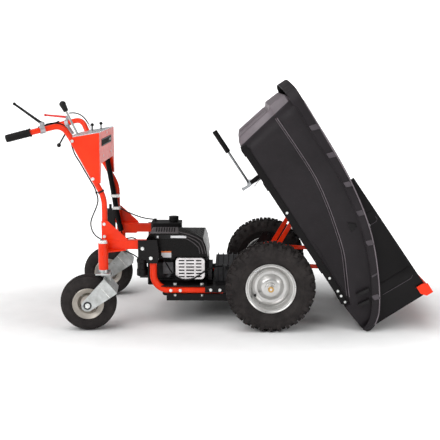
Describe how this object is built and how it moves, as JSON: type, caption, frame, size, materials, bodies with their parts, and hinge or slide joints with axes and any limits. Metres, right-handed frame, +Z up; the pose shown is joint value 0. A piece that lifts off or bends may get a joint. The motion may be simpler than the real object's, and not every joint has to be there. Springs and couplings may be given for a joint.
{
  "type": "power wheelbarrow",
  "caption": "Motorised wheelbarrow with a tipping tub and lift-out front gate, driven front wheels, swivel casters, engine and a handlebar console.",
  "frame": {"origin": "on the ground under the centre of the machine's bounding box", "axes": "+X forward, from the operator's handles to the gate; +Y to the operator's left; +Z up"},
  "size_m": [1.8993, 0.8007, 1.1209],
  "materials": {
    "red_paint": "glossy orange-red powder coat",
    "black_paint": "satin black powder coat",
    "grey_paint": "light grey wheel enamel",
    "panel_black": "satin black sheet",
    "zinc": "zinc-plated steel",
    "bright_steel": "bright plated steel",
    "cast_alloy": "dark painted casting",
    "alloy": "cast alloy",
    "tub_plastic": "textured charcoal polyethylene",
    "black_plastic": "moulded black plastic",
    "gloss_black": "glossy black engine cover",
    "tyre": "black tyre rubber",
    "grip_rubber": "soft black grip",
    "cable_rubber": "black cable sheath",
    "bronze": "bronze bearing metal"
  },
  "bodies": {
    "chassis": {"frame_tubes": "red_paint", "axle_plates": "black_paint", "axle_and_kingpin_bearings": "bronze", "side_brackets": "black_paint", "caster_arms": "red_paint", "gussets": "red_paint", "deck_plates": "black_paint", "belt_cover": "black_paint", "frame_bolts": "bright_steel", "hinge_shaft": "bright_steel", "right_handlebar": "red_paint", "left_handlebar": "red_paint", "handle_grips": "grip_rubber", "console_housing": "red_paint", "console_top": "bright_steel", "lever_clamps": "alloy", "cable_conduit": "cable_rubber", "cable_clamps": "bright_steel", "relay_box": "black_plastic", "engine_block": "cast_alloy", "blower_shroud": "gloss_black", "fuel_tank": "black_plastic", "fuel_cap": "black_plastic", "carburettor": "cast_alloy", "muffler": "bright_steel", "transaxle": "cast_alloy", "drive_belt": "cable_rubber", "control_cables": "cable_rubber", "brake_cable_loop": "cable_rubber", "throttle_cable": "cable_rubber"},
    "right_wheel": {"right_drive_tyre": "tyre", "right_drive_rim": "grey_paint", "right_half_shaft": "bright_steel"},
    "left_wheel": {"left_drive_tyre": "tyre", "left_drive_rim": "grey_paint", "left_half_shaft": "bright_steel"},
    "right_swivel": {"right_caster_fork": "zinc"},
    "left_swivel": {"left_caster_fork": "zinc"},
    "right_caster": {"right_caster_tyre": "tyre", "right_caster_rim": "grey_paint"},
    "left_caster": {"left_caster_tyre": "tyre", "left_caster_rim": "grey_paint"},
    "bed": {"tub": "tub_plastic", "bed_rails": "panel_black", "bed_cross_bars": "panel_black", "hinge_frame": "red_paint", "right_side_panel": "panel_black", "left_side_panel": "panel_black", "tub_bolts": "bright_steel"},
    "gate": {"front_gate": "panel_black", "gate_rail": "red_paint"},
    "latch": {"latch_handle": "bright_steel"},
    "brake_lever": {"brake_lever": "black_plastic"},
    "clutch_lever": {"clutch_lever": "red_paint"},
    "lock_lever": {"lock_lever": "black_plastic"},
    "shift_lever": {"shift_lever": "black_plastic"},
    "throttle_key": {"throttle_key": "black_plastic"},
    "choke_key": {"choke_key": "black_plastic"},
    "crank": {"crankshaft": "bright_steel"},
    "gear_input": {"input_shaft": "bright_steel"}
  },
  "joints": [
    {"name": "bed_tip", "type": "hinge", "parent": "chassis", "child": "bed", "pos_m": [0.2283, 0, 0.28], "axis": [0, -1, 0], "range_deg": [0, 56.7]},
    {"name": "right_wheel_spin", "type": "hinge", "parent": "chassis", "child": "right_wheel", "pos_m": [0.2233, -0.325, 0.203], "axis": [0, 1, 0], "continuous": true},
    {"name": "left_wheel_spin", "type": "hinge", "parent": "chassis", "child": "left_wheel", "pos_m": [0.2233, 0.325, 0.203], "axis": [0, 1, 0], "continuous": true},
    {"name": "right_caster_swivel", "type": "hinge", "parent": "chassis", "child": "right_swivel", "pos_m": [-0.5297, -0.314, 0.26], "axis": [0, 0, 1], "continuous": true},
    {"name": "left_caster_swivel", "type": "hinge", "parent": "chassis", "child": "left_swivel", "pos_m": [-0.5297, 0.314, 0.26], "axis": [0, 0, 1], "continuous": true},
    {"name": "right_caster_spin", "type": "hinge", "parent": "right_swivel", "child": "right_caster", "pos_m": [-0.59943, -0.3201, 0.127], "axis": [-0.0872, 0.9962, 0], "continuous": true},
    {"name": "left_caster_spin", "type": "hinge", "parent": "left_swivel", "child": "left_caster", "pos_m": [-0.59943, 0.3079, 0.127], "axis": [-0.0872, 0.9962, 0], "continuous": true},
    {"name": "gate_lift", "type": "slide", "parent": "bed", "child": "gate", "axis": [0.8358, 0, 0.549], "range_m": [0, 0.24]},
    {"name": "latch_pull", "type": "hinge", "parent": "bed", "child": "latch", "pos_m": [0.15014, 0.185, 0.61391], "axis": [0, -1, 0], "range_deg": [0, 14], "stiffness_Nm_per_rad": 6, "springref_deg": -28.65},
    {"name": "brake_squeeze", "type": "hinge", "parent": "chassis", "child": "brake_lever", "pos_m": [-0.79007, -0.29584, 0.92908], "axis": [0, -1, 0], "range_deg": [0, 30], "stiffness_Nm_per_rad": 1.5, "springref_deg": -22.92},
    {"name": "clutch_squeeze", "type": "hinge", "parent": "chassis", "child": "clutch_lever", "pos_m": [-0.79007, 0.29584, 0.92908], "axis": [0, -1, 0], "range_deg": [-20, 0], "stiffness_Nm_per_rad": 1.5, "springref_deg": 22.92},
    {"name": "lock_turn", "type": "hinge", "parent": "chassis", "child": "lock_lever", "pos_m": [-0.8017, 0.311, 0.854], "axis": [0, 1, 0], "range_deg": [-25, 25]},
    {"name": "gear_shift", "type": "hinge", "parent": "chassis", "child": "shift_lever", "pos_m": [-0.6327, -0.12, 0.8], "axis": [0, 1, 0], "range_deg": [-11, 11]},
    {"name": "throttle_move", "type": "hinge", "parent": "chassis", "child": "throttle_key", "pos_m": [-0.6367, 0.122, 0.8465], "axis": [0, 1, 0], "range_deg": [-20, 20]},
    {"name": "choke_move", "type": "hinge", "parent": "chassis", "child": "choke_key", "pos_m": [-0.5937, 0.122, 0.85367], "axis": [0, 1, 0], "range_deg": [-20, 20]},
    {"name": "crank_spin", "type": "hinge", "parent": "chassis", "child": "crank", "pos_m": [-0.1967, 0, 0.265], "axis": [0, 0, 1], "continuous": true},
    {"name": "gear_input_spin", "type": "hinge", "parent": "chassis", "child": "gear_input", "pos_m": [0.0733, 0, 0.16], "axis": [0, 0, 1], "continuous": true}
  ],
  "couplings": [
    {"joint": "gear_input_spin", "follows": "crank_spin", "ratio": 0.6}
  ]
}
